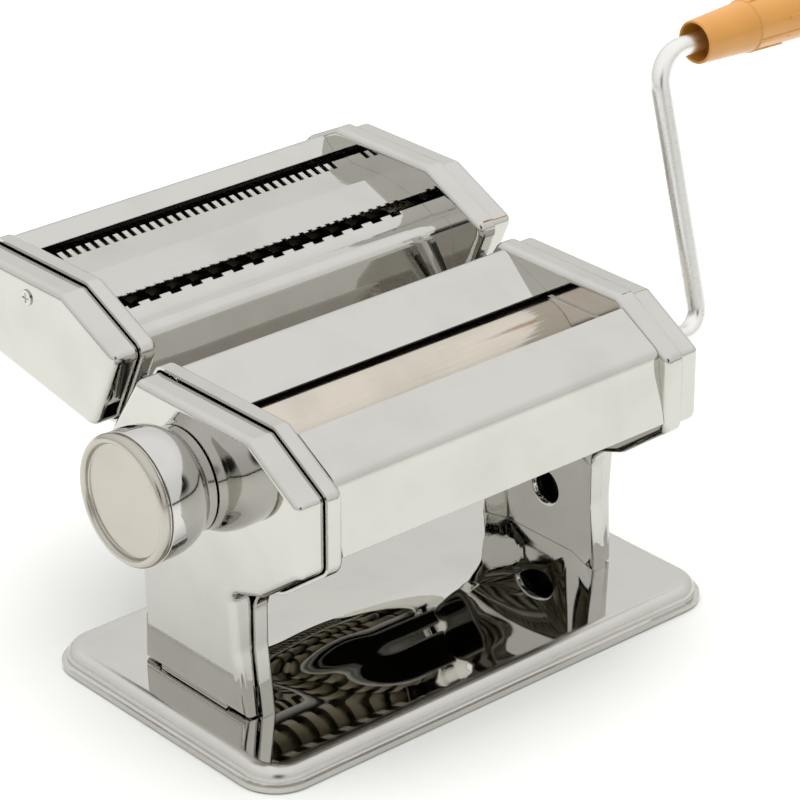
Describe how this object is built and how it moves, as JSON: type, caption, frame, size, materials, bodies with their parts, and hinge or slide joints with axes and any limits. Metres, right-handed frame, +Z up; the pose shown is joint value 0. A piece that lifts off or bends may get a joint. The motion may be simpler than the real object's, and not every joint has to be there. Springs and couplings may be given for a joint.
{
  "type": "hand cranked pasta machine",
  "caption": "Chromed hand cranked pasta machine with two kneading rollers, a thickness knob and a clip-on noodle cutter, standing on a pressed steel base.",
  "frame": {"origin": "middle of the base plate at table level", "axes": "+X along the rollers to the crank, +Y towards the cutter at the rear, +Z up"},
  "size_m": [0.3518, 0.2018, 0.208],
  "materials": {
    "chrome": "mirror polished",
    "zinc": "plated satin",
    "nylon": "natural",
    "cutter_steel": "machined",
    "knob_metal": "polished",
    "grip_plastic": "glossy",
    "rubber": "matt"
  },
  "bodies": {
    "frame": {"base_plate": "chrome", "rubber_feet": "rubber", "foot_rivets": "zinc", "left_inner_plate": "chrome", "right_inner_plate": "chrome", "left_outer_cover": "chrome", "right_outer_cover": "chrome", "front_panel": "chrome", "rear_hopper_panel": "chrome", "left_side_guide": "chrome", "right_side_guide": "chrome", "tie_rods": "zinc", "tie_rod_nuts": "zinc", "cover_posts": "zinc", "front_scraper": "zinc", "rear_scraper": "zinc", "block_guides": "nylon", "front_roller_bushes": "nylon", "regulator_bush": "nylon", "crank_bush": "zinc", "knob_index_pin": "zinc", "left_hanger_rail": "zinc", "right_hanger_rail": "zinc"},
    "front_roller": {"front_roller": "chrome", "front_roller_gear": "zinc"},
    "crank": {"crank_rod": "chrome", "grip_retainer": "zinc"},
    "grip": {"crank_grip": "grip_plastic"},
    "rear_carriage": {"left_bearing_block": "zinc", "right_bearing_block": "zinc", "carriage_tie_bar": "zinc"},
    "rear_roller": {"rear_roller": "chrome", "rear_roller_gear": "zinc"},
    "regulator": {"regulator_shaft": "zinc", "knob_retaining_screw": "zinc", "knob_spring": "zinc"},
    "knob": {"knob_barrel": "knob_metal", "knob_cap": "knob_metal"},
    "cutter_unit": {"left_cutter_plate": "chrome", "right_cutter_plate": "chrome", "left_cutter_cover": "chrome", "right_cutter_cover": "chrome", "front_cutter_sheet": "chrome", "centre_cutter_sheet": "chrome", "rear_cutter_sheet": "chrome", "cutter_bushes": "nylon", "cutter_tie_rods": "zinc", "cutter_tie_rod_nuts": "zinc", "cutter_cover_posts": "zinc", "cutter_cover_screws": "zinc"},
    "wide_front": {"wide_cutter_front": "cutter_steel", "wide_front_gear": "zinc"},
    "wide_rear": {"wide_cutter_rear": "cutter_steel", "wide_rear_gear": "zinc"},
    "narrow_front": {"narrow_cutter_front": "cutter_steel", "narrow_front_gear": "zinc"},
    "narrow_rear": {"narrow_cutter_rear": "cutter_steel", "narrow_rear_gear": "zinc"}
  },
  "joints": [
    {"name": "drive_turn", "type": "hinge", "parent": "frame", "child": "front_roller", "pos_m": [0, -0.0382, 0.0975], "axis": [1, 0, 0], "continuous": true},
    {"name": "crank_pull", "type": "slide", "parent": "front_roller", "child": "crank", "axis": [1, 0, 0], "range_m": [0, 0.022]},
    {"name": "grip_spin", "type": "hinge", "parent": "crank", "child": "grip", "pos_m": [0.18, -0.01067, 0.19571], "axis": [1, 0, 0], "continuous": true},
    {"name": "thickness_shift", "type": "slide", "parent": "frame", "child": "rear_carriage", "axis": [0, 1, 0], "range_m": [0, 0.0024]},
    {"name": "rear_roller_turn", "type": "hinge", "parent": "rear_carriage", "child": "rear_roller", "pos_m": [0, -0.0038, 0.0945], "axis": [1, 0, 0], "continuous": true},
    {"name": "regulator_turn", "type": "hinge", "parent": "frame", "child": "regulator", "pos_m": [-0.09, -0.0026, 0.0945], "axis": [-1, 0, 0], "range_deg": [0, 160]},
    {"name": "knob_pull", "type": "slide", "parent": "regulator", "child": "knob", "axis": [-1, 0, 0], "range_m": [0, 0.004], "stiffness_N_per_m": 1500, "springref_m": -0.002, "deforming": ["knob_spring"]},
    {"name": "cutter_lift", "type": "slide", "parent": "frame", "child": "cutter_unit", "axis": [0, -0.4165, 0.9092], "range_m": [0, 0.035]},
    {"name": "wide_turn", "type": "hinge", "parent": "cutter_unit", "child": "wide_front", "pos_m": [0, 0.06, 0.111], "axis": [1, 0, 0], "continuous": true},
    {"name": "wide_rear_turn", "type": "hinge", "parent": "cutter_unit", "child": "wide_rear", "pos_m": [0, 0.078, 0.111], "axis": [1, 0, 0], "continuous": true},
    {"name": "narrow_turn", "type": "hinge", "parent": "cutter_unit", "child": "narrow_rear", "pos_m": [0, 0.118, 0.117], "axis": [1, 0, 0], "continuous": true},
    {"name": "narrow_front_turn", "type": "hinge", "parent": "cutter_unit", "child": "narrow_front", "pos_m": [0, 0.1, 0.117], "axis": [1, 0, 0], "continuous": true}
  ],
  "couplings": [
    {"joint": "rear_roller_turn", "follows": "drive_turn", "ratio": -1},
    {"joint": "regulator_turn", "follows": "thickness_shift", "rad_per_m": 1162.8},
    {"joint": "wide_rear_turn", "follows": "wide_turn", "ratio": -1},
    {"joint": "narrow_front_turn", "follows": "narrow_turn", "ratio": -1}
  ]
}
